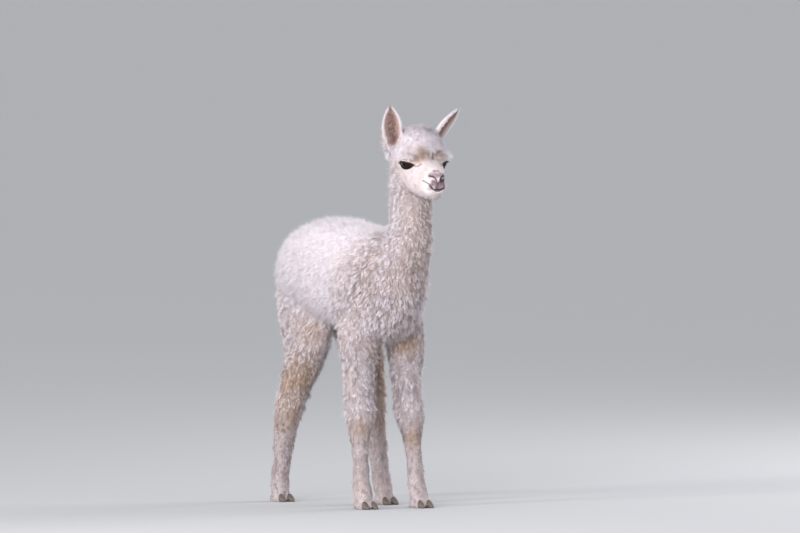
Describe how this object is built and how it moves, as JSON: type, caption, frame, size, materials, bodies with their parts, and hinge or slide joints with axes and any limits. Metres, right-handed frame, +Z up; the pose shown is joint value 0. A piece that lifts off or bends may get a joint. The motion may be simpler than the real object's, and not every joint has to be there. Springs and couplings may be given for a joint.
{
  "type": "alpaca",
  "caption": "Life-size still model of a young white huacaya alpaca standing with its neck upright, one hind leg forward and one back.",
  "frame": {"origin": "on the floor, under the middle of the figure's bounding box", "axes": "+X towards the nose, +Y to the animal's left, +Z up"},
  "size_m": [0.6178, 0.2368, 0.8663],
  "materials": {
    "fleece": "short curly wool, off-white",
    "face_hair": "short soft hair, off-white, pink and grey skin at the nose",
    "ear_skin": "short hair outside, pinkish skin with fine hair inside",
    "eye": "wet, glossy, near black",
    "nail": "smooth dull horn"
  },
  "bodies": {
    "root": {"ear_left": "ear_skin", "ear_right": "ear_skin", "eye_left": "eye", "eye_right": "eye", "foot_front_left": "fleece", "foot_front_right": "fleece", "foot_hind_left": "fleece", "foot_hind_right": "fleece", "head": "face_hair", "leg_front_left_lower": "fleece", "leg_front_left_upper": "fleece", "leg_front_right_lower": "fleece", "leg_front_right_upper": "fleece", "leg_hind_left_lower": "fleece", "leg_hind_left_upper": "fleece", "leg_hind_right_lower": "fleece", "leg_hind_right_upper": "fleece", "nail_front_left_1": "nail", "nail_front_left_2": "nail", "nail_front_right_1": "nail", "nail_front_right_2": "nail", "nail_hind_left_1": "nail", "nail_hind_left_2": "nail", "nail_hind_right_1": "nail", "nail_hind_right_2": "nail", "neck": "fleece", "tail": "fleece", "torso": "fleece"}
  },
  "joints": []
}
